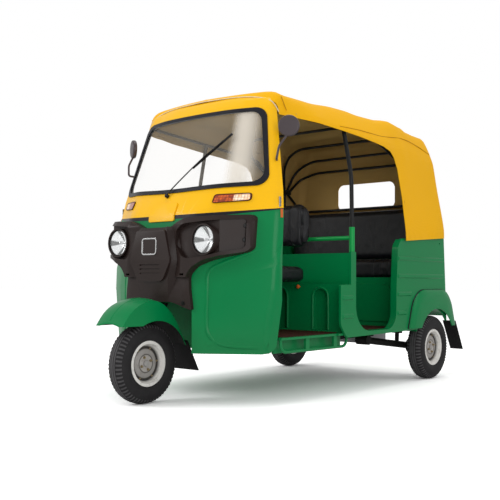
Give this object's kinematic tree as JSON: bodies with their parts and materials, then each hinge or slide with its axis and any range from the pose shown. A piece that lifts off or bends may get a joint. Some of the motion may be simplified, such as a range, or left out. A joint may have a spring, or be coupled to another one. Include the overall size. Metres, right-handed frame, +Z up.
{
  "type": "auto rickshaw",
  "caption": "Three-wheeled passenger auto rickshaw with an enclosed nose, open sides, a canvas hood and a bench seat behind the driver.",
  "frame": {"origin": "on the ground under the middle of the vehicle's box", "axes": "+X to the vehicle's left, +Y to its rear, +Z up; it faces -Y"},
  "size_m": [1.3044, 2.635, 1.6871],
  "materials": {
    "green_paint": "gloss enamel",
    "yellow_paint": "gloss enamel",
    "dark_moulding": "fine-grained moulding",
    "black_rubber": "matt",
    "screen_glass": "clear",
    "lamp_lens": "clear lens over a bright bowl",
    "amber_lens": "moulded lens",
    "red_lens": "moulded lens",
    "canvas": "coated canvas",
    "upholstery": "grained leathercloth",
    "black_steel": "satin",
    "tyre": "moulded rubber",
    "wheel_paint": "satin",
    "engine_alloy": "cast"
  },
  "bodies": {
    "root": {"front_cowl": "green_paint", "floor_pan": "green_paint", "partition": "green_paint", "engine_cover": "green_paint", "seat_pedestal": "green_paint", "tub_side_left": "green_paint", "tub_side_right": "green_paint", "tub_rear": "green_paint", "flare_left": "green_paint", "flare_right": "green_paint", "grab_rail": "green_paint", "screen_surround": "yellow_paint", "nose_plate": "yellow_paint", "headlamp_fascia": "dark_moulding", "dashboard": "dark_moulding", "mirrors": "dark_moulding", "wiper": "dark_moulding", "screen_seal": "black_rubber", "rear_flaps": "black_rubber", "screen_glass": "screen_glass", "headlamp_left": "lamp_lens", "headlamp_right": "lamp_lens", "indicator_lamps": "amber_lens", "tail_lamps": "red_lens", "canopy": "canvas", "driver_cushion": "upholstery", "driver_backrest": "upholstery", "bench_cushion": "upholstery", "bench_backrest": "upholstery", "hood_frame": "black_steel", "chassis_frame": "black_steel", "trailing_arms": "black_steel", "suspension_units": "black_steel", "engine": "engine_alloy"},
    "steering": {"handlebar": "black_steel", "fork": "black_steel", "front_mudguard": "green_paint", "front_flap": "black_rubber"},
    "front_wheel": {"front_tyre": "tyre", "front_rim": "wheel_paint"},
    "rear_left_wheel": {"rear_left_tyre": "tyre", "rear_left_rim": "wheel_paint"},
    "rear_right_wheel": {"rear_right_tyre": "tyre", "rear_right_rim": "wheel_paint"},
    "engine_lid": {"engine_lid": "green_paint"}
  },
  "joints": [
    {"name": "steering", "type": "hinge", "parent": "root", "child": "steering", "pos_m": [0, -0.80004, 0.86], "axis": [0, 0.3746, 0.9272], "range_deg": [-40, 40]},
    {"name": "front_wheel_spin", "type": "hinge", "parent": "steering", "child": "front_wheel", "pos_m": [0, -1.0875, 0.2075], "axis": [1, 0, 0], "continuous": true},
    {"name": "rear_left_wheel_spin", "type": "hinge", "parent": "root", "child": "rear_left_wheel", "pos_m": [0.575, 0.9125, 0.2075], "axis": [1, 0, 0], "continuous": true},
    {"name": "rear_right_wheel_spin", "type": "hinge", "parent": "root", "child": "rear_right_wheel", "pos_m": [-0.575, 0.9125, 0.2075], "axis": [1, 0, 0], "continuous": true},
    {"name": "engine_lid_hinge", "type": "hinge", "parent": "root", "child": "engine_lid", "pos_m": [0, 1.0695, 0.704], "axis": [1, 0, 0], "range_deg": [0, 80]}
  ]
}
